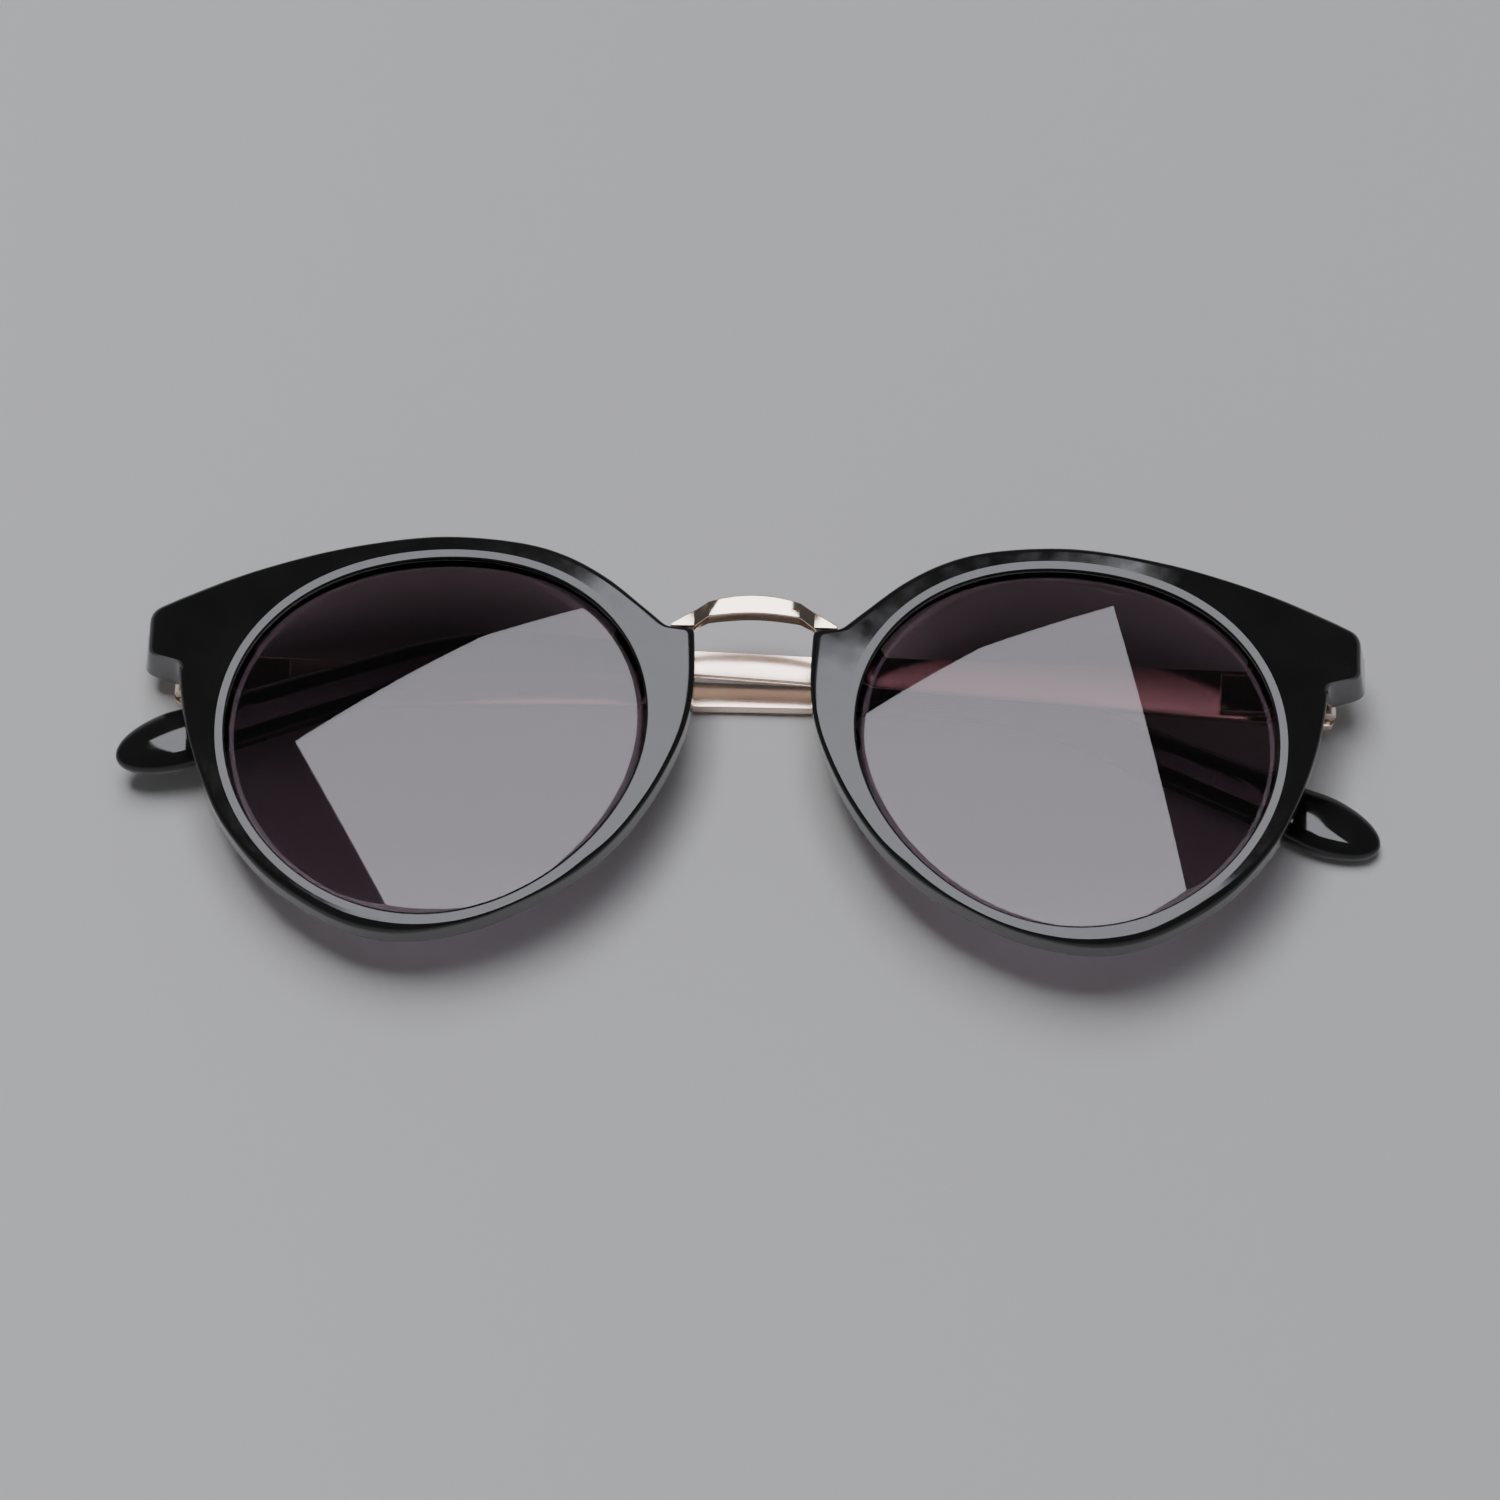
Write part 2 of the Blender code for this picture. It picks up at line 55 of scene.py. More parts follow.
# Where the design frame's hinge axes are, as in the CAD model
HINGE_X = 66.5
HINGE_Y = 11.2
HINGE_Z = 11.4

# Rims and lenses: u is outward from a lens's centre, towards the temple, and z is up
LENS_CENTRE_X = 36.4
LENS_MEAN_RADIUS = 23.1
LENS_COSINES = (0.1, 1.12, 0.0)
LENS_SINES = (0.5, -0.61, 0.52)
LENS_THICKNESS = 1.6
LENS_DEPTH = 0.9
LENS_BASE_RADIUS = 260.0
GROOVE_DEPTH = 0.8
RING_WIDTH = 1.1
RIM_THICKNESS = 4.2
ENDPIECE_THICKNESS = 9.4
ENDPIECE_START_U = 25.5
WRAP_START_U = 13.0
WRAP_FULL_U = 19.0
WRAP_ANGLE = math.radians(7.5)
WRAP_Z = (-6.0, 8.0)  # the wrap grows from nothing at the lower height to all of it at the upper
LEDGE_INNER = (-26.3, 14.2)
LEDGE_OUTER = (-29.5, 14.0)
ENDPIECE_TOP = (34.0, 15.7)
ENDPIECE_BOTTOM = (34.0, 10.2)
NOTCH = (30.2, 9.0)
RIM_TOP = ((-23.5, 16.6), (-19.2, 20.1), (-14.6, 22.7), (-9.7, 24.2), (-3.0, 24.9), (3.0, 24.7),
           (10.7, 23.4), (18.5, 21.4), (25.0, 19.4), (30.2, 17.4))
RIM_BOTTOM = ((29.7, 4.6), (28.6, -0.5), (26.7, -6.0), (23.9, -11.6), (19.2, -17.2), (13.5, -21.3),
              (8.0, -23.7), (2.0, -24.3), (-5.0, -22.9), (-11.5, -20.0), (-16.8, -16.6),
              (-21.4, -12.2), (-24.9, -7.2), (-27.5, -2.0), (-29.1, 2.8), (-29.7, 8.0))

# Bridge
BRIDGE_FRONT = 0.5
BRIDGE_BACK = 2.8
BRIDGE_MIDDLE_X = 5.35
BRIDGE_SHOULDER_X = 6.9
BRIDGE_END_X = 9.7
BRIDGE_TOP_Z = 18.3
BRIDGE_FACET_DEPTH = 0.9  # how far the angled facets fall back
BRIDGE_MIDDLE_BOTTOM = 16.0
# Half of the bar, from its end inward: x, top, bottom, and 1 where the front has fallen back
BRIDGE_STATIONS = ((BRIDGE_END_X, 14.95, 14.6, 1), (BRIDGE_SHOULDER_X, 16.7, 14.62, 1),
                   (BRIDGE_MIDDLE_X, 17.4, 15.5, 0), (BRIDGE_MIDDLE_X * 0.72, 17.83, 15.72, 0),
                   (BRIDGE_MIDDLE_X * 0.45, 18.12, 15.88, 0),
                   (BRIDGE_MIDDLE_X * 0.2, 18.26, 15.98, 0))
NECK_X = (7.4, 8.8)
NECK_Y = (2.4, 5.2)
NECK_Z = (14.62, 15.2)

# Temples: s is the distance behind the hinge axis when a temple is open
BAR_OFFSET = 2.5
BAR_THICKNESS = 1.4
BAR_HEIGHTS = ((-1.6, 6.0), (4.0, 6.4), (32.0, 4.8), (62.0, 3.3), (76.0, 3.0))
TIP_START = 76.3
BEND_START = 91.0
BEND_RADIUS = 40.0
BEND_ANGLE = math.radians(22.0)
TIP_SIZES = ((76.3, 2.9, 4.0), (91.0, 3.1, 4.6), (106.4, 3.4, 5.6), (124.0, 3.7, 6.4),
             (130.0, 3.7, 6.7), (136.0, 3.8, 7.4), (143.0, 3.8, 7.4))
TIP_END = 143.0
FOLD = {"left": math.radians(92.5), "right": math.radians(-89.0)}
RISE = {"left": math.radians(1.7), "right": math.radians(-0.2)}

# Camera and light, in metres in the row frame
CAMERA_ELEVATION = math.radians(68.0)
CAMERA_DISTANCE = 0.8
CAMERA_ROLL = math.radians(1.75)
VIEW_WIDTH = 0.1725
AIM_Z = -1.3  # on the design frame's middle line, in millimetres
SOFTBOX_HEIGHT = 1.5
SOFTBOX_CORNERS = ((-0.427, 0.588), (-0.26, 0.705), (-0.12, 0.80), (0.109, 0.90), (0.31, -0.10),
                   (-0.02, -0.14))


def design_to_row():
    """The matrix that takes design millimetres to row-frame metres."""
    hinges = {joint["child"]: joint for joint in frame["joints"]}
    left = Vector(hinges["left_temple"]["pos_m"])
    right = Vector(hinges["right_temple"]["pos_m"])
    across = (left - right).normalized()
    up = -Vector(hinges["left_temple"]["axis"]).normalized()
    back = up.cross(across)
    origin = (left + right) / 2 - (back * HINGE_Y + up * HINGE_Z) * MM
    matrix = Matrix((across, back, up)).transposed().to_4x4()
    matrix.translation = origin
    return matrix @ Matrix.Scale(MM, 4)


DESIGN = design_to_row()


def hinge_matrix(word):
    """From hinge coordinates, centred on the pin, to the row frame."""
    return DESIGN @ Matrix.Translation((SIDES[word] * HINGE_X, HINGE_Y, HINGE_Z))


def temple_matrix(word):
    """From an open temple's own frame (outward, along, up) to the row frame, folded."""
    fold = Matrix.Rotation(FOLD[word], 4, "Z")
    return hinge_matrix(word) @ fold @ Matrix.Rotation(RISE[word], 4, "X")


# ---------------------------------------------------------------- mesh helpers

def grid_mesh(name, rings, closed_rings, material, sharp_angle=35.0, cap=True):
    """An object from an array of rings (n, m, 3); each ring is a closed loop of points."""
    rings = np.asarray(rings, float)
    n, m, _ = rings.shape
    faces = []
    for i in range(n if closed_rings else n - 1):
        a, b = i * m, (i + 1) % n * m
        for k in range(m):
            j = (k + 1) % m
            faces.append((a + k, a + j, b + j, b + k))
    if cap and not closed_rings:
        faces.append(tuple(range(m))[::-1])
        faces.append(tuple(range((n - 1) * m, n * m)))
    return mesh_object(name, rings.reshape(-1, 3), faces, material, sharp_angle)


def select_only(*objects):
    for other in bpy.context.selected_objects:
        other.select_set(False)
    for obj in objects:
        obj.select_set(True)
    bpy.context.view_layer.objects.active = objects[0]


def mesh_object(name, points, faces, material, sharp_angle=35.0):
    """A smooth-shaded object whose faces all look outward."""
    mesh = bpy.data.meshes.new(name)
    mesh.from_pydata([tuple(p) for p in points], [], faces)
    mesh.validate()
    obj = bpy.data.objects.new(name, mesh)
    bpy.context.scene.collection.objects.link(obj)
    select_only(obj)
    bpy.ops.object.mode_set(mode="EDIT")
    bpy.ops.mesh.select_all(action="SELECT")
    bpy.ops.mesh.normals_make_consistent(inside=False)
    bpy.ops.object.mode_set(mode="OBJECT")
    mesh.shade_smooth()
    mesh.set_sharp_from_angle(angle=math.radians(sharp_angle))
    mesh.materials.append(material)
    return obj


def bevelled(obj, width_mm, segments=3, angle=30.0):
    """Rounds the edges of a mesh that is still in millimetres."""
    modifier = obj.modifiers.new("edge_round", "BEVEL")
    modifier.width = width_mm
    modifier.segments = segments
    modifier.limit_method = "ANGLE"
    modifier.angle_limit = math.radians(angle)
    modifier.harden_normals = False
    apply_modifiers(obj)
    return obj


def apply_modifiers(obj):
    graph = bpy.context.evaluated_depsgraph_get()
    mesh = bpy.data.meshes.new_from_object(obj.evaluated_get(graph))
    old = obj.data
    obj.modifiers.clear()
    obj.data = mesh
    bpy.data.meshes.remove(old)


def place(obj, matrix, body, *nodes, slot):
    """Moves a piece from its own millimetres to the row frame and hands it to its body."""
    obj.data.transform(matrix)
    if matrix.determinant() < 0:
        obj.data.flip_normals()
    obj.data.update()
    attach(obj, body)
    if nodes:
        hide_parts(*nodes)
    return obj


def spline(points, steps):
    """Points along a Catmull-Rom curve through the given ones, the last one left out."""
    p = np.array([points[0], *points, points[-1]], float)
    t = np.arange(steps)[:, None] / steps
    spans = []
    for i in range(len(points) - 1):
        a, b, c, d = p[i : i + 4]
        spans.append(0.5 * (2 * b + (c - a) * t + (2 * a - 5 * b + 4 * c - d) * t**2
                            + (3 * b - a - 3 * c + d) * t**3))
    return np.concatenate(spans)


def ramp(value, low, high):
    """0 at low, 1 at high, and smooth between them."""
    t = np.clip((value - low) / (high - low), 0.0, 1.0)
    return t * t * (3 - 2 * t)


def arc(centre, radius, start, end, count):
    """Points on an arc, from start to end in degrees, both ends included."""
    a = np.radians(np.linspace(start, end, count))
    return np.column_stack([centre[0] + radius * np.cos(a), centre[1] + radius * np.sin(a)])


def even_spacing(points, step, closed=True):
    """The same line with points at even steps."""
    loop = np.vstack([points, points[:1]]) if closed else np.asarray(points)
    lengths = np.r_[0.0, np.cumsum(np.linalg.norm(np.diff(loop, axis=0), axis=1))]
    count = int(round(lengths[-1] / step))
    at = np.linspace(0, lengths[-1], count, endpoint=not closed)
    return np.column_stack([np.interp(at, lengths, loop[:, k]) for k in range(loop.shape[1])])


# ---------------------------------------------------------------- shared outlines

def lens_radius(angle):
    """The radius of the lens opening, as a short Fourier series."""
    radius = LENS_MEAN_RADIUS
    for k, (c, s) in enumerate(zip(LENS_COSINES, LENS_SINES), 1):
        radius = radius + c * np.cos(k * angle) + s * np.sin(k * angle)
    return radius


def lens_depth(radius):
    """How deep the middle of the lens's thickness lies."""
    return LENS_DEPTH + radius**2 / (2 * LENS_BASE_RADIUS)


def wrap_depth(u, z):
    """How far the front's face falls back towards the endpiece."""
    u = np.asarray(u, float)
    run = np.clip(u - WRAP_START_U, 0, None)
    span = WRAP_FULL_U - WRAP_START_U
    eased = np.where(run < span, run**2 / (2 * span), run - span / 2)
    return eased * math.tan(WRAP_ANGLE) * ramp(z, *WRAP_Z)


def rounded_corner(before, corner, after, reach, count=7):
    """Points on a curve that cuts a corner, starting and ending reach away from it."""
    before, corner, after = (np.asarray(p, float) for p in (before, corner, after))
    a = corner + (before - corner) / np.linalg.norm(before - corner) * reach
    b = corner + (after - corner) / np.linalg.norm(after - corner) * reach
    t = np.linspace(0, 1, count)[:, None]
    return (1 - t) ** 2 * a + 2 * t * (1 - t) * corner + t**2 * b


def rim_outline():
    """(u, z) round a rim, at even steps, with its corners rounded."""
    top = spline([LEDGE_INNER, *RIM_TOP, ENDPIECE_TOP], 14)
    bottom = spline([(NOTCH[0] - 0.05, NOTCH[1] - 0.4), *RIM_BOTTOM, LEDGE_OUTER], 14)
    inner = rounded_corner(LEDGE_OUTER, LEDGE_INNER, top[6], 0.7)
    outer = rounded_corner(bottom[-4], LEDGE_OUTER, LEDGE_INNER, 0.55)
    upper = rounded_corner(top[-4], ENDPIECE_TOP, ENDPIECE_BOTTOM, 1.3, 9)
    lower = rounded_corner(ENDPIECE_TOP, ENDPIECE_BOTTOM, NOTCH, 0.9)
    notch = rounded_corner(ENDPIECE_BOTTOM, NOTCH, bottom[4], 0.7)
    pieces = [inner, top[4:-5], upper, lower, notch, bottom[3:-5], outer]
    return even_spacing(np.vstack(pieces), OUTLINE_STEP)


# ---------------------------------------------------------------- rims

BAND_SLOPE = math.tan(math.radians(3.6))  # of the outer band, away from the flat ring
EDGE_RADIUS = (0.5, 1.0)  # of the outer front edge, on the rim and on the endpiece
BOTTOM_EDGE_RADIUS = 1.0
BACK_RADIUS = 0.6
FLARE = 0.9  # how much wider the endpiece is at its back
SMOOTH_REACH = 13.0  # along the outline, over which the sections' directions are evened out
OUTLINE_STEP = 0.42
STEP_SHARE = 0.6  # of a section's width, from the lens to where the endpiece's block may start


def section_angles(outline):
    """Where each section starts on the lens opening: polar angles, evened out along the outline."""
    angles = np.unwrap(np.arctan2(outline[:, 1], outline[:, 0]))
    step = np.linalg.norm(outline[1] - outline[0])
    reach = int(SMOOTH_REACH / step)
    turn = 2 * math.pi * np.sign(angles[-1] - angles[0])
    long = np.concatenate([angles[-reach:] - turn, angles, angles[:reach] + turn])
    weights = np.hanning(2 * reach + 3)[1:-1]
    return np.convolve(long, weights / weights.sum(), "valid")


def band_depth(u, z):
    """How far the outer band slopes back from the plane of the flat ring."""
    beyond = np.hypot(u, z) - lens_radius(np.arctan2(z, u)) - RING_WIDTH
    return BAND_SLOPE * beyond


def ring_edge(inner, outward):
    """How far along a section the flat ring ends."""
    at = np.linspace(0, 4, 81)
    points = inner + outward * at[:, None]
    return float(np.interp(0.0, band_depth(points[:, 0], points[:, 1]), at))


def rim_profile(ring, width, edge, back, step, groove, flare):
    """(w, depth) round a section: the flat ring, the band, the wall, the back and the groove."""
    half = LENS_THICKNESS / 2 + GAP
    last = width - edge
    share = np.array([0.0, 0.02, 0.1, 0.2, 0.35, 0.5, 0.65, 0.8, 0.9])
    band_w = ring + (last - ring) * share
    parts = [
        arc((0.22, 0.26), 0.22, 180, 270, 6) - [0.0, 0.04],
        [(0.5, 0.0), (0.8, 0.0), (ring - 0.03, 0.0)],
        np.column_stack([band_w, 0 * share]),
        arc((last, edge), edge, 270, 360, 9),
        [(width + flare * 0.12, edge + 0.5), (width + flare * 0.5, (edge + back) / 2),
         (width + flare, back - BACK_RADIUS - SKIN)],
        arc((width + flare - BACK_RADIUS, back - BACK_RADIUS), BACK_RADIUS, 0, 90, 6),
        [(step + 0.8, back), (step + 0.45, back - 0.06), (step + 0.3, back - 0.25),
         (step + 0.15, (back + RIM_THICKNESS) / 2), (step, RIM_THICKNESS + SKIN),
         (0.7, RIM_THICKNESS)],
        arc((0.5, RIM_THICKNESS - 0.5), 0.5, 90, 180, 6),
        [(0.0, groove + half), (GROOVE_DEPTH, groove + half), (GROOVE_DEPTH, groove - half),
         (0.0, groove - half)],
    ]
    return np.vstack(parts)


def make_rim(word, material):
    """A rim with its endpiece: one section for each step along the outline."""
    outline = rim_outline()
    rings = []
    for (u, z), angle in zip(outline, section_angles(outline)):
        radius = lens_radius(angle)
        inner = np.array([radius * math.cos(angle), radius * math.sin(angle)])
        outward = np.array([u, z]) - inner
        width = float(np.linalg.norm(outward))
        outward = outward / width
        block = float(ramp(u, ENDPIECE_START_U, ENDPIECE_TOP[0] - 2.0)) * (z > NOTCH[1] - 0.2)
        at_end = float(ramp(u, 20.0, 30.0)) * (z > NOTCH[1] - 1.0)
        edge = EDGE_RADIUS[0] + (EDGE_RADIUS[1] - EDGE_RADIUS[0]) * at_end
        edge += (BOTTOM_EDGE_RADIUS - edge) * float(ramp(-z, 12.0, 20.0))
        ring = ring_edge(inner, outward)
        edge = min(edge, (width - ring) * 0.7)
        back = RIM_THICKNESS + (ENDPIECE_THICKNESS - RIM_THICKNESS) * block
        step = width * STEP_SHARE
        if u > ENDPIECE_START_U and z > 0:
            step = (ENDPIECE_START_U - inner[0]) / outward[0]
        step = min(max(step, 0.9), width - 1.6)
        profile = rim_profile(ring, width, edge, back, step, lens_depth(radius), FLARE * block)
        points = inner + outward * profile[:, :1]
        depth = profile[:, 1].copy()
        fall = wrap_depth(points[:, 0], points[:, 1]) - wrap_depth(*(inner + outward * ring))
        fall = np.clip(fall, 0, None) + band_depth(points[:, 0], points[:, 1])
        weight = np.clip(1 - (depth - edge) / (back - BACK_RADIUS - edge), 0, 1)
        depth += fall * np.where(profile[:, 0] >= ring, weight, 0.0)
        rings.append(np.column_stack([points[:, 0] + LENS_CENTRE_X, depth, points[:, 1]]))
    rings = np.array(rings)
    rings[:, :, 0] *= SIDES[word]
    rim = grid_mesh(f"{word}_rim_body", rings, True, material, sharp_angle=40.0)
    return place(rim, DESIGN, "front", f"{word}_rim", slot="gloss_black_acetate")


# ---------------------------------------------------------------- lenses

LENS_SIDES = 180
LENS_BEVEL = 0.25


def make_lens(word, material):
    """A slightly domed lens, with a small bevel inside the groove."""
    half = LENS_THICKNESS / 2
    shares = np.linspace(0.02, 1.0, 26) ** 0.8
    angles = np.linspace(0, 2 * math.pi, LENS_SIDES, endpoint=False)
    edge = lens_radius(angles) + GROOVE_DEPTH - GAP
    rings = []
    for face, order in ((-half, shares), (half, shares[::-1])):
        for share in order:
            radius = edge * share
            bevel = LENS_BEVEL * (share == shares[-1])
            depth = lens_depth(radius) + face - math.copysign(bevel, face)
            x, z = radius * np.cos(angles), radius * np.sin(angles)
            rings.append(np.column_stack([SIDES[word] * (x + LENS_CENTRE_X), depth, z]))
    lens = grid_mesh(f"{word}_lens_glass", rings, False, material, sharp_angle=50.0)
    return place(lens, DESIGN, "front", f"{word}_lens", slot="tinted_lens")


# ---------------------------------------------------------------- bridge

LUG_X = (7.4, 13.0)
LUG_Z = (8.8, 15.9)
LUG_Y = (4.5, 5.7)
LUG_SCREW_X = 10.2
LUG_SCREW_Z = (10.2, 12.8)
SCREW_RADIUS = 0.55
SCREW_HEAD_RADIUS = 1.1


def box_points(low, high):
    x0, y0, z0 = low
    x1, y1, z1 = high
    return [[(x0, y0, z0), (x1, y0, z0), (x1, y1, z0), (x0, y1, z0)],
            [(x0, y0, z1), (x1, y0, z1), (x1, y1, z1), (x0, y1, z1)]]


def bevelled_box(name, low, high, material, width, segments=3):
    low, high = np.minimum(low, high), np.maximum(low, high)
    return bevelled(grid_mesh(name, box_points(low, high), False, material), width, segments)


def joined(name, parts):
    """One object from several, with the first one's material slots."""
    select_only(*parts)
    bpy.ops.object.join()
    parts[0].name = name
    parts[0].data.name = name
    return parts[0]


def make_bridge(material):
    """The faceted bar, with a neck from each end back to the lug behind the rim."""
    stations = [(-x, *rest) for x, *rest in BRIDGE_STATIONS]
    stations.append((0.0, BRIDGE_TOP_Z, BRIDGE_MIDDLE_BOTTOM, 0))
    stations += [(x, *rest) for x, *rest in reversed(BRIDGE_STATIONS)]
    rings = []
    for x, top, bottom, fallen in stations:
        front = BRIDGE_FRONT + BRIDGE_FACET_DEPTH * fallen
        rings.append([(x, front, bottom), (x, front, top), (x, BRIDGE_BACK, top),
                      (x, BRIDGE_BACK, bottom)])
    bar = grid_mesh("bridge_bar", rings, False, material, sharp_angle=12.0)
    bevelled(bar, 0.13, 2, 14.0)
    parts = [bar]
    for side in SIDES.values():
        for name, x, y, z, rounding, segments in (
                ("bridge_neck", NECK_X, NECK_Y, NECK_Z, 0.1, 2),
                ("bridge_lug", LUG_X, LUG_Y, LUG_Z, 0.35, 4)):
            low, high = (side * x[0], y[0], z[0]), (side * x[1], y[1], z[1])
            parts.append(bevelled_box(name, low, high, material, rounding, segments))
    bridge = joined("bridge_metal", parts)
    bridge.data.set_sharp_from_angle(angle=math.radians(16.0))
    return place(bridge, DESIGN, "front", "bridge", slot="pale_gold_metal")


# ---------------------------------------------------------------- screws

SCREW_SLOT_WIDTH = 0.32
SCREW_SLOT_DEPTH = 0.26
SCREW_SIDES = 40
BRIDGE_SCREW_START = 3.0


def make_screw(name, node, matrix, body, start, head_low, head_high, radius, head_radius, material,
               slot_angle=0.3, slot="screw_steel"):
    """A slotted screw on the local Z axis, whose domed head is at the high end."""
    height = head_high - head_low
    profile = [(start + 0.2, radius * 0.7), (start + 0.45, radius), (head_low, radius),
               (head_low, head_radius * 0.96), (head_low + 0.1 * height, head_radius)]
    for k in range(7):
        a = math.radians(90 * k / 6)
        profile.append((head_low + height * (0.45 + 0.55 * math.sin(a)),
                        head_radius * (0.55 + 0.45 * math.cos(a))))
    profile.append((head_high, head_radius * 0.3))
    turns = np.linspace(0, 2 * math.pi, SCREW_SIDES, endpoint=False)
    rings = [np.column_stack([r * np.cos(turns), r * np.sin(turns), np.full(SCREW_SIDES, at)])
             for at, r in profile]
    screw = grid_mesh(name, rings, False, material, sharp_angle=35.0)
    cutter = grid_mesh(f"{name}_cutter", box_points(
        (-2.0, -SCREW_SLOT_WIDTH / 2, head_high - SCREW_SLOT_DEPTH),
        (2.0, SCREW_SLOT_WIDTH / 2, head_high + 1.0)), False, material)
    cutter.data.transform(Matrix.Rotation(slot_angle, 4, "Z"))
    modifier = screw.modifiers.new("slot", "BOOLEAN")
    modifier.operation = "DIFFERENCE"
    modifier.solver = "EXACT"
    modifier.object = cutter
    apply_modifiers(screw)
    bpy.data.objects.remove(cutter, do_unlink=True)
    screw.data.set_sharp_from_angle(angle=math.radians(35.0))
    return place(screw, matrix, body, node, slot=slot)


def make_bridge_screws(material):
    face_back = Matrix.Rotation(-math.pi / 2, 4, "X")
    for word, side in SIDES.items():
        for i, z in enumerate(LUG_SCREW_Z, 1):
            spot = DESIGN @ Matrix.Translation((side * LUG_SCREW_X, 0, z)) @ face_back
            make_screw(f"{word}_bridge_screw_{i}_metal", f"{word}_bridge_screw_{i}", spot, "front",
                       BRIDGE_SCREW_START, LUG_Y[1] + SKIN, LUG_Y[1] + 0.85, SCREW_RADIUS,
                       SCREW_HEAD_RADIUS, material, 0.5 + 1.1 * i + 0.4 * side)


# ---------------------------------------------------------------- nose pads

PAD_CENTRE = (10.6, 5.0, 3.4)
PAD_RADII = (2.0, 2.1, 4.6)
PAD_LEAN = math.radians(-20.0)
PAD_SIDES = 72


def make_nose_pad(word, material):
    """A moulded pad on the back of the rim's nose side: part of an ellipsoid, cut flat there."""
    turn = np.array(Matrix.Rotation(PAD_LEAN, 3, "Y"))
    turns = np.linspace(0, 2 * math.pi, PAD_SIDES, endpoint=False)
    foot = RIM_THICKNESS + SKIN
    rings = []
    for k in range(27):
        a = math.radians(-10 + 98 * k / 26)
        shape = np.column_stack([np.cos(turns) * math.cos(a) * PAD_RADII[0],
                                 np.full(PAD_SIDES, math.sin(a) * PAD_RADII[1]),
                                 np.sin(turns) * math.cos(a) * PAD_RADII[2]])
        points = shape @ turn.T + PAD_CENTRE
        points[:, 1] = np.maximum(points[:, 1], foot)
        points[:, 0] *= SIDES[word]
        rings.append(points)
    pad = grid_mesh(f"{word}_nose_pad_body", rings, False, material, sharp_angle=60.0)
    return place(pad, DESIGN, "front", f"{word}_nose_pad", slot="gloss_black_acetate")


# ---------------------------------------------------------------- temples

BAR_ROLL = math.radians(-6.5)  # the strips lie slightly rolled about their own length
BAR_BEVEL = 0.17
TANG_S = (75.5, 88.0)
TANG_HALF = (0.4, 0.8)  # of its thickness and of its height
TIP_END_LENGTH = 8.6  # over which the tip rounds off
TIP_SQUARENESS = 2.5  # 2 is an ellipse, and more is squarer


def bar_height(s):
    at, height = zip(*BAR_HEIGHTS)
    return np.interp(s, at, height)


def make_bar(word, material):
    """The flat metal strip: rounded at the hinge end, with fine bevels along its edges."""
    side = SIDES[word]
    stations = [(-1.58, 0.80), (-1.5, 0.88), (-1.35, 0.94), (-1.1, 0.98), (-0.8, 1.0)]
    stations += [(s, 1.0) for s in (4.0, 11.0, 18.0, 25.0, 32.0, 42.0, 52.0, 62.0, 69.0, 75.2)]
    stations += [(75.85, 0.97), (76.0, 0.9)]
    e0, e1 = BAR_OFFSET - BAR_THICKNESS / 2, BAR_OFFSET + BAR_THICKNESS / 2
    rings = []
    for s, share in stations:
        z = bar_height(s) / 2 * share
        corners = []
        for (e, v), quarter in zip(((e0, -z), (e1, -z), (e1, z), (e0, z)), (180, 270, 0, 90)):
            ce = e + BAR_BEVEL * (1 if e == e0 else -1)
            cv = v - math.copysign(BAR_BEVEL, v)
            corners += [tuple(p) for p in arc((ce, cv), BAR_BEVEL, quarter, quarter + 90, 4)]
        roll = BAR_ROLL * float(ramp(s, 0.0, 14.0))
        c, d = math.cos(roll), math.sin(roll)
        ring = []
        for e, v in corners:
            x = side * (e - BAR_OFFSET)
            ring.append((side * BAR_OFFSET + x * c + v * d, s, v * c - x * d))
        rings.append(ring)
    bar = grid_mesh(f"{word}_temple_bar_metal", rings, False, material, sharp_angle=30.0)
    tang = bevelled_box("tang", (side * (BAR_OFFSET - TANG_HALF[0]), TANG_S[0], -TANG_HALF[1]),
                        (side * (BAR_OFFSET + TANG_HALF[0]), TANG_S[1], TANG_HALF[1]),
                        material, 0.1, 2)
    bar = joined(bar.name, [bar, tang])
    return place(bar, temple_matrix(word), f"{word}_temple", f"{word}_temple_bar",
                 slot="pale_gold_metal")


def tip_centre(s):
    """How far behind the hinge and how far down the tip's middle is at s, and its slope there."""
    turned = min(max((s - BEND_START) / BEND_RADIUS, 0.0), BEND_ANGLE)
    past = s - BEND_START - turned * BEND_RADIUS
    behind = BEND_START + BEND_RADIUS * math.sin(turned) + past * math.cos(turned)
    drop = BEND_RADIUS * (1 - math.cos(turned))
    if turned >= BEND_ANGLE:
        drop += past * math.sin(turned)
    return behind, drop, turned


def tip_ring(s, thickness, height, side, power, count=56):
    """A section of the tip: a rounded oblong, square to its middle line."""
    behind, drop, turned = tip_centre(s)
    angle = np.linspace(0, 2 * math.pi, count, endpoint=False)
    c, d = np.cos(angle), np.sin(angle)
    e = np.sign(c) * np.abs(c) ** (2 / power) * thickness / 2
    z = np.sign(d) * np.abs(d) ** (2 / power) * height / 2
    return np.column_stack([side * (BAR_OFFSET + e), behind + z * math.sin(turned),
                            z * math.cos(turned) - drop])


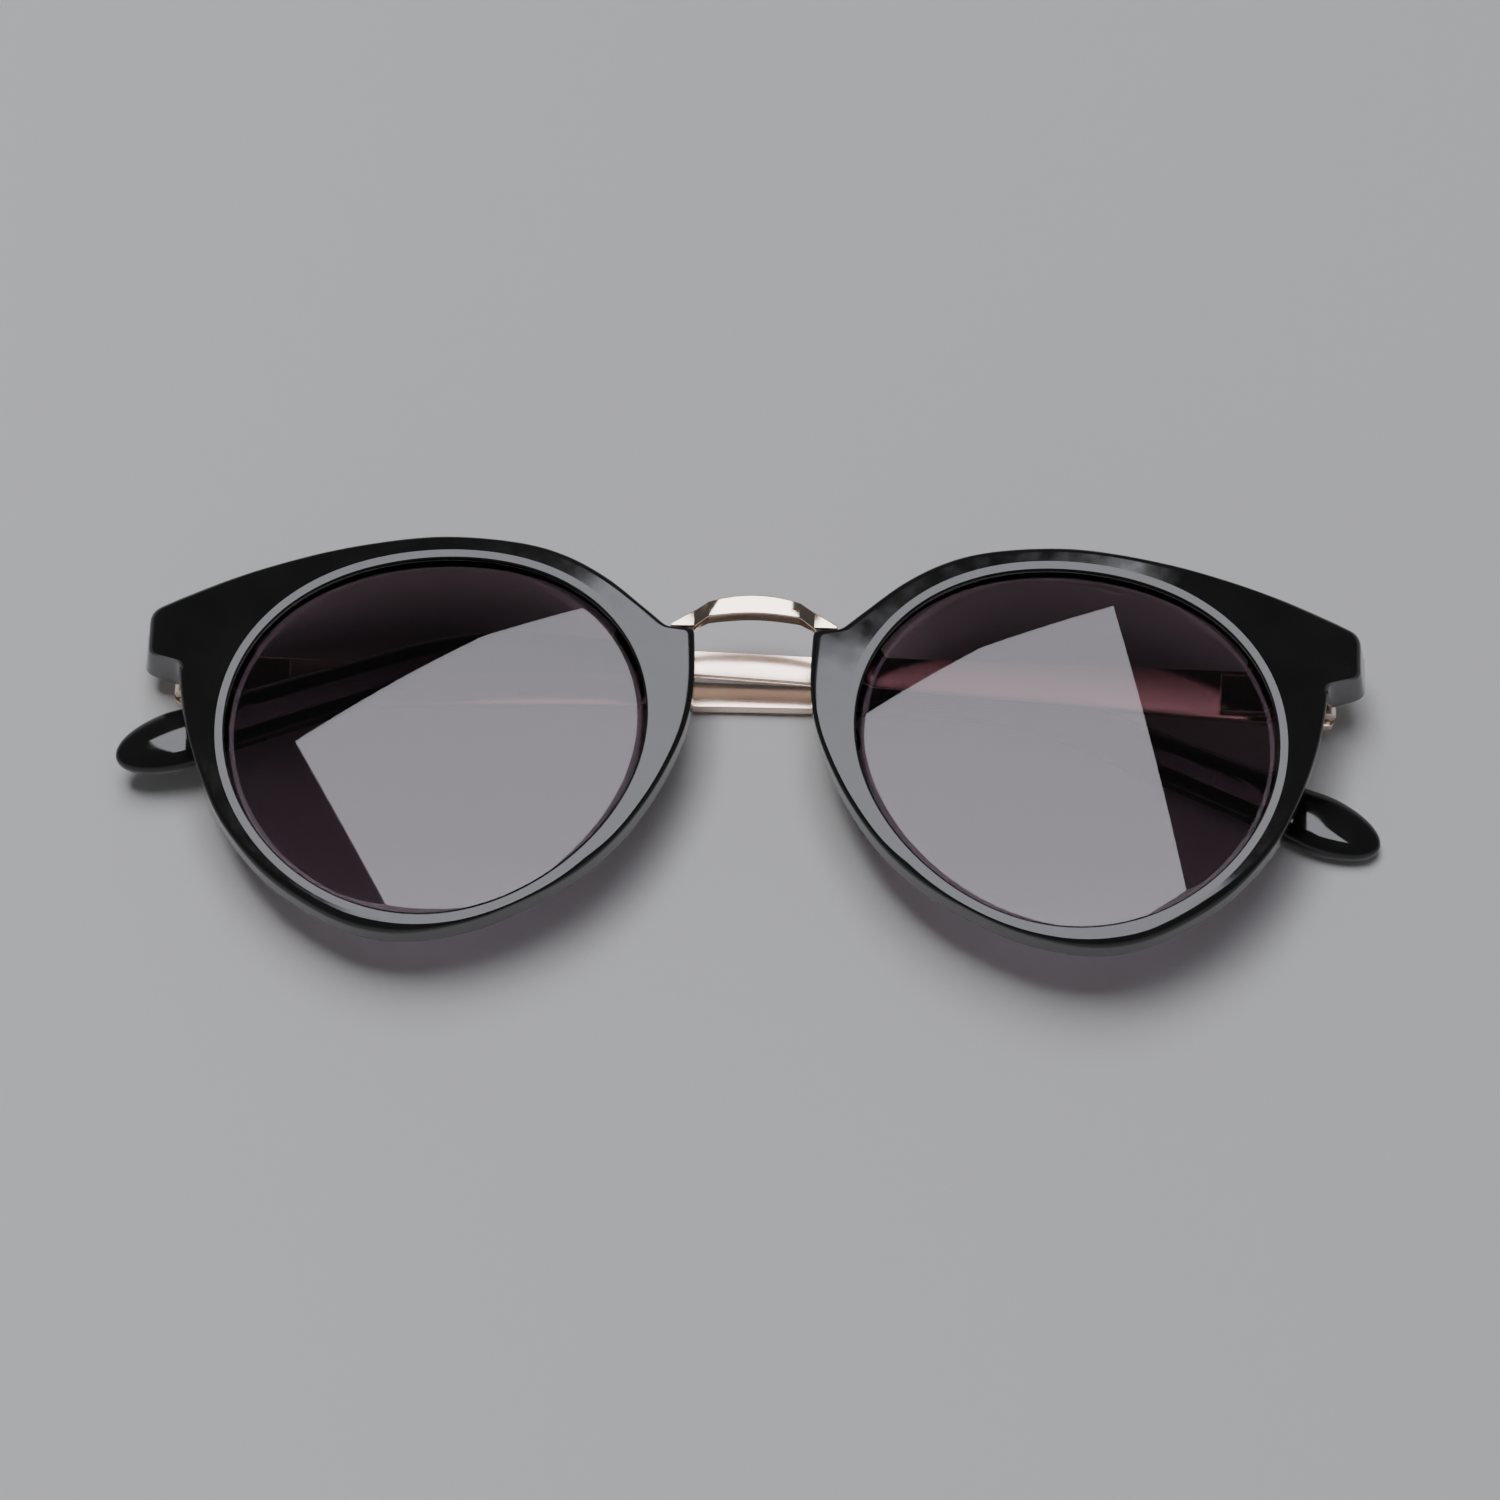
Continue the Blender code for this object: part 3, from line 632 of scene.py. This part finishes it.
def make_tip(word, material):
    """The temple tip: a long rounded oblong with an evenly rounded end."""
    side = SIDES[word]
    at, thick, high = (np.array(column) for column in zip(*TIP_SIZES))
    end_start = TIP_END - TIP_END_LENGTH
    stations = [(TIP_START + SKIN, 0.86), (TIP_START + 0.1, 0.92), (TIP_START + 0.3, 0.97),
                (TIP_START + 0.6, 1.0)]
    stations += [(s, 1.0) for s in np.linspace(TIP_START + 1.5, end_start, 60)]
    for k in range(1, 19):
        a = math.radians(90 * k / 18)
        stations.append((end_start + TIP_END_LENGTH * math.sin(a), max(math.cos(a), 0.03)))
    rings = [tip_ring(TIP_START + 0.35, 1.5, 2.2, side, 3.2)]
    for s, share in stations:
        shape = share**0.6 * np.interp(s, at, thick), share * np.interp(s, at, high)
        rings.append(tip_ring(s, *shape, side, TIP_SQUARENESS))
    tip = grid_mesh(f"{word}_temple_tip_body", rings, False, material, sharp_angle=60.0)
    return place(tip, temple_matrix(word), f"{word}_temple", f"{word}_temple_tip",
                 slot="gloss_black_acetate")


# ---------------------------------------------------------------- hinges

KNUCKLE_RADIUS = 1.5
KNUCKLE_LENGTH = 1.55
HINGE_LENGTH = 5.4
HINGE_SCREW_RADIUS = 0.65
WEB_OFFSET = (0.6, 1.4)
WEB_REACH = 2.7
PLATE_X = (61.4, 64.5)
PLATE_RISE = 2.5
PLATE_THICKNESS = 1.0
PLATE_SCREW_X = 62.9
PLATE_SCREW_RISE = 1.35
LEAF_S = (2.4, 12.0)
LEAF_OFFSET = (0.5, 1.5)
LEAF_RISE = 2.3
LEAF_EXTRA = 0.28  # thickness that carries the leaf out to the bar
HINGE_SCREW_HEAD_RADIUS = 1.3
PLATE_SCREW_LENGTH = 2.0


def make_knuckle(name, low, high, turned, material):
    """A barrel with a web, in hinge coordinates; turned maps (outward, along) to (x, y).

    It isn't bored: the hinge screw runs through it out of sight.
    """
    start = math.acos(WEB_OFFSET[0] / KNUCKLE_RADIUS)
    end = 2 * math.pi - math.acos(WEB_OFFSET[1] / KNUCKLE_RADIUS)
    sweep = np.linspace(start, end, 40)
    outline = [(KNUCKLE_RADIUS * math.cos(a), KNUCKLE_RADIUS * math.sin(a)) for a in sweep]
    outline += [(WEB_OFFSET[1], WEB_REACH), (WEB_OFFSET[0], WEB_REACH)]
    rings = [[(*turned(*p), z) for p in outline] for z in (low, high)]
    barrel = bevelled(grid_mesh(name, rings, False, material, 25.0), 0.1, 2, 40.0)
    barrel.data.set_sharp_from_angle(angle=math.radians(30.0))
    return barrel


def make_hinge(word, metal):
    """The plate on the endpiece with its screws, the hinge screw, and the leaf on the bar."""
    side = SIDES[word]
    half = HINGE_LENGTH / 2
    inner = half - KNUCKLE_LENGTH
    low = ENDPIECE_THICKNESS + SKIN - HINGE_Y
    high = ENDPIECE_THICKNESS + GAP + PLATE_THICKNESS - HINGE_Y
    plate_x = [side * (x - HINGE_X) for x in PLATE_X]
    plate = bevelled_box("plate", (plate_x[0], low, -PLATE_RISE), (plate_x[1], high, PLATE_RISE),
                         metal, 0.18, 3)
    parts = [plate] + [
        make_knuckle("knuckle", *span, lambda outward, along: (-side * along, -outward), metal)
        for span in ((inner, half), (-half, -inner))
    ]
    axis = hinge_matrix(word)
    place(joined(f"{word}_hinge_plate_metal", parts), axis, "front", f"{word}_hinge_plate",
          slot="pale_gold_metal")
    face_back = Matrix.Rotation(-math.pi / 2, 4, "X")
    for i, rise in enumerate((PLATE_SCREW_RISE, -PLATE_SCREW_RISE), 1):
        spot = axis @ Matrix.Translation((side * (PLATE_SCREW_X - HINGE_X), 0, rise)) @ face_back
        make_screw(f"{word}_plate_screw_{i}_metal", f"{word}_plate_screw_{i}", spot, "front",
                   low - PLATE_SCREW_LENGTH, high + SKIN, high + 0.6, SCREW_RADIUS,
                   SCREW_HEAD_RADIUS, metal, 0.8 * i + 0.3 * side, "pale_gold_metal")
    make_screw(f"{word}_hinge_screw_metal", f"{word}_hinge_screw", axis, "front", -half - 0.18,
               half + SKIN, half + 0.88, HINGE_SCREW_RADIUS, HINGE_SCREW_HEAD_RADIUS, metal,
               0.7 * side, "pale_gold_metal")
    leaf = bevelled_box("leaf", (side * LEAF_OFFSET[0], LEAF_S[0], -LEAF_RISE),
                        (side * (LEAF_OFFSET[1] + LEAF_EXTRA), LEAF_S[1], LEAF_RISE),
                        metal, 0.18, 3)
    reach = inner - GAP
    tongue = make_knuckle("tongue", -reach, reach, lambda outward, along: (side * outward, along),
                          metal)
    turned = axis @ Matrix.Rotation(FOLD[word], 4, "Z")
    place(joined(f"{word}_hinge_leaf_metal", [leaf, tongue]), turned, f"{word}_temple",
          f"{word}_hinge_leaf", slot="pale_gold_metal")


# ---------------------------------------------------------------- materials

class Nodes:
    """A small helper for node materials around one Principled shader."""

    def __init__(self, name):
        self.material = bpy.data.materials.new(name)
        self.material.use_nodes = True
        self.tree = self.material.node_tree
        self.shader = self.tree.nodes["Principled BSDF"]

    def add(self, kind, **settings):
        node = self.tree.nodes.new(kind)
        for key, value in settings.items():
            if hasattr(node, key):
                setattr(node, key, value)
            else:
                node.inputs[key.replace("_", " ")].default_value = value
        return node

    def link(self, source, target):
        self.tree.links.new(source, target)

    def set(self, **values):
        for key, value in values.items():
            self.shader.inputs[key.replace("_", " ")].default_value = value

    def coordinates(self):
        return self.add("ShaderNodeTexCoord").outputs["Object"]

    def noise(self, scale, detail=3.0, stretch=(1, 1, 1)):
        """A noise field from 0 to 1, with scale in features to a metre."""
        mapping = self.add("ShaderNodeMapping")
        mapping.inputs["Scale"].default_value = stretch
        self.link(self.coordinates(), mapping.inputs["Vector"])
        field = self.add("ShaderNodeTexNoise", Scale=scale, Detail=detail, Roughness=0.55)
        self.link(mapping.outputs["Vector"], field.inputs["Vector"])
        return field.outputs["Fac"]

    def spread(self, field, low, high, start=0.35, end=0.65):
        """A field's values, mapped from start..end to low..high."""
        node = self.add("ShaderNodeMapRange")
        for key, value in (("From Min", start), ("From Max", end),
                           ("To Min", low), ("To Max", high)):
            node.inputs[key].default_value = value
        self.link(field, node.inputs["Value"])
        return node.outputs["Result"]

    def colours(self, field, stops):
        node = self.add("ShaderNodeValToRGB")
        ramp_ = node.color_ramp
        while len(ramp_.elements) < len(stops):
            ramp_.elements.new(0.5)
        for element, (at, colour) in zip(ramp_.elements, stops):
            element.position = at
            element.color = (*colour, 1.0)
        self.link(field, node.inputs["Fac"])
        return node.outputs["Color"]

    def bump(self, field, strength, distance):
        node = self.add("ShaderNodeBump")
        node.inputs["Strength"].default_value = strength
        node.inputs["Distance"].default_value = distance
        self.link(field, node.inputs["Height"])
        self.link(node.outputs["Normal"], self.shader.inputs["Normal"])


def black_acetate():
    """Polished cellulose acetate: nearly black, glossy, with faint waviness and handling haze."""
    m = Nodes("gloss_black_acetate")
    m.set(IOR=1.5, Specular_IOR_Level=0.5, Coat_Weight=0.0)
    haze = m.noise(420.0, 4.0)
    m.link(m.spread(haze, 0.045, 0.095), m.shader.inputs["Roughness"])
    blacks = ((0.3, (0.010, 0.010, 0.0105)), (0.7, (0.015, 0.0145, 0.014)))
    m.link(m.colours(m.noise(160.0, 2.0), blacks), m.shader.inputs["Base Color"])
    m.bump(m.noise(260.0, 1.0), 0.12, 0.00002)
    return m.material


def pale_gold(name, smoothest, roughest):
    """Pale rose gold plating, with faint polishing lines along the strips."""
    m = Nodes(name)
    m.set(Metallic=1.0)
    lines = m.noise(900.0, 3.0, (0.12, 1.0, 1.0))
    m.link(m.spread(lines, smoothest, roughest), m.shader.inputs["Roughness"])
    golds = ((0.3, (0.86, 0.68, 0.56)), (0.7, (0.90, 0.735, 0.62)))
    m.link(m.colours(m.noise(240.0, 3.0), golds), m.shader.inputs["Base Color"])
    m.bump(lines, 0.10, 0.00001)
    return m.material


def steel():
    """Plain steel with fine turning marks."""
    m = Nodes("screw_steel")
    m.set(Metallic=1.0)
    lines = m.noise(1500.0, 2.0)
    m.link(m.spread(lines, 0.2, 0.34), m.shader.inputs["Roughness"])
    m.link(m.colours(lines, ((0.3, (0.66, 0.63, 0.60)), (0.7, (0.76, 0.73, 0.70)))),
           m.shader.inputs["Base Color"])
    return m.material


# From the lens's bottom to its top
LENS_TINT = ((0.0, (0.40, 0.31, 0.35)), (0.2, (0.32, 0.24, 0.28)), (0.55, (0.27, 0.195, 0.23)),
             (0.72, (0.16, 0.11, 0.13)), (0.86, (0.085, 0.058, 0.066)),
             (1.0, (0.055, 0.038, 0.042)))
LENS_REACH = 0.024  # metres from a lens's middle to where the tint ends


def tinted_glass():
    """A plum-brown lens, darker towards its top, which is towards +Y in the row frame."""
    m = Nodes("tinted_lens")
    m.set(Roughness=0.0, IOR=1.5, Transmission_Weight=1.0, Specular_IOR_Level=0.5)
    split = m.add("ShaderNodeSeparateXYZ")
    m.link(m.coordinates(), split.inputs["Vector"])
    height = m.spread(split.outputs["Y"], 0.0, 1.0, -LENS_REACH, LENS_REACH)
    m.link(m.colours(height, LENS_TINT), m.shader.inputs["Base Color"])
    return m.material


# ---------------------------------------------------------------- floor, light, camera

FLOOR_SIZE = 6.0
FLOOR_COLOUR = (0.80, 0.80, 0.81)
FLOOR_VARIATION = 0.995
SOFTBOX_RADIANCE = 6.0
SOFTBOX_COLOUR = (0.97, 0.975, 1.05)
KEY_PLACE = (-0.12, 0.30, 2.0)
KEY_SIZE = 0.9
KEY_POWER = 34.0
WORLD_COLOUR = (0.98, 0.99, 1.0)
HORIZON_STRENGTH = 0.42
ZENITH_STRENGTH = 0.07
SKY_FADE = (0.10, 0.45)  # between these heights of direction the sky goes from one to the other
SENSOR_WIDTH = 36.0
CAMERA_CLIP_START = 0.01


def make_stage():
    """The floor, a softbox that shows in the lenses, a key lamp that doesn't, and the sky."""
    floor_material = Nodes("floor_paper")
    floor_material.set(Roughness=0.9, Specular_IOR_Level=0.2)
    darker = tuple(c * FLOOR_VARIATION for c in FLOOR_COLOUR)
    greys = floor_material.colours(floor_material.noise(3.0), ((0.3, darker), (0.7, FLOOR_COLOUR)))
    floor_material.link(greys, floor_material.shader.inputs["Base Color"])
    r = FLOOR_SIZE / 2
    corners = [(-r, -r, 0), (r, -r, 0), (r, r, 0), (-r, r, 0)]
    floor = mesh_object("floor", corners, [(0, 1, 2, 3)], floor_material.material)

    glow = bpy.data.materials.new("softbox_glow")
    glow.use_nodes = True
    shader = glow.node_tree.nodes["Principled BSDF"]
    shader.inputs["Base Color"].default_value = (0, 0, 0, 1)
    shader.inputs["Emission Color"].default_value = (*SOFTBOX_COLOUR, 1.0)
    shader.inputs["Emission Strength"].default_value = SOFTBOX_RADIANCE
    points = [(x, y, SOFTBOX_HEIGHT) for x, y in SOFTBOX_CORNERS]
    softbox = mesh_object("softbox", points, [tuple(range(len(points)))], glow)

    key = bpy.data.lights.new("key", "AREA")
    key.shape = "DISK"
    key.size = KEY_SIZE
    key.energy = KEY_POWER
    lamp = bpy.data.objects.new("key", key)
    lamp.location = KEY_PLACE
    lamp.rotation_mode = "QUATERNION"
    lamp.rotation_quaternion = (-Vector(KEY_PLACE)).to_track_quat("-Z", "Y")
    lamp.visible_glossy = False
    lamp.visible_transmission = False
    bpy.context.scene.collection.objects.link(lamp)

    world = bpy.data.worlds.new("studio")
    world.use_nodes = True
    background = world.node_tree.nodes["Background"]
    tree = world.node_tree
    direction = tree.nodes.new("ShaderNodeTexCoord")
    split = tree.nodes.new("ShaderNodeSeparateXYZ")
    fade = tree.nodes.new("ShaderNodeMapRange")
    fade.interpolation_type = "SMOOTHSTEP"
    for setting, value in (("From Min", SKY_FADE[0]), ("From Max", SKY_FADE[1]),
                           ("To Min", HORIZON_STRENGTH), ("To Max", ZENITH_STRENGTH)):
        fade.inputs[setting].default_value = value
    tree.links.new(direction.outputs["Generated"], split.inputs["Vector"])
    tree.links.new(split.outputs["Z"], fade.inputs["Value"])
    tree.links.new(fade.outputs["Result"], background.inputs["Strength"])
    background.inputs["Color"].default_value = (*WORLD_COLOUR, 1.0)
    bpy.context.scene.world = world


def make_camera():
    camera = bpy.data.objects.new("camera", bpy.data.cameras.new("camera"))
    bpy.context.scene.collection.objects.link(camera)
    aim = DESIGN @ Vector((0, 0, AIM_Z))
    away = Vector((0, -math.cos(CAMERA_ELEVATION), math.sin(CAMERA_ELEVATION)))
    camera.location = aim + away * CAMERA_DISTANCE
    camera.rotation_mode = "QUATERNION"
    turn = (-away).to_track_quat("-Z", "Y").to_matrix() @ Matrix.Rotation(CAMERA_ROLL, 3, "Z")
    camera.rotation_quaternion = turn.to_quaternion()
    camera.data.sensor_width = SENSOR_WIDTH
    camera.data.lens = SENSOR_WIDTH * CAMERA_DISTANCE / VIEW_WIDTH
    camera.data.clip_start = CAMERA_CLIP_START
    bpy.context.scene.camera = camera


# ---------------------------------------------------------------- everything

black = black_acetate()
gold = pale_gold("pale_gold_metal", 0.09, 0.15)
satin_gold = pale_gold("satin_gold_metal", 0.15, 0.22)
glass = tinted_glass()
screw_metal = steel()
make_bridge(gold)
make_bridge_screws(screw_metal)
for side_word in SIDES:
    make_rim(side_word, black)
    make_lens(side_word, glass)
    make_nose_pad(side_word, black)
    make_hinge(side_word, gold)
    make_bar(side_word, satin_gold)
    make_tip(side_word, black)
make_stage()
make_camera()
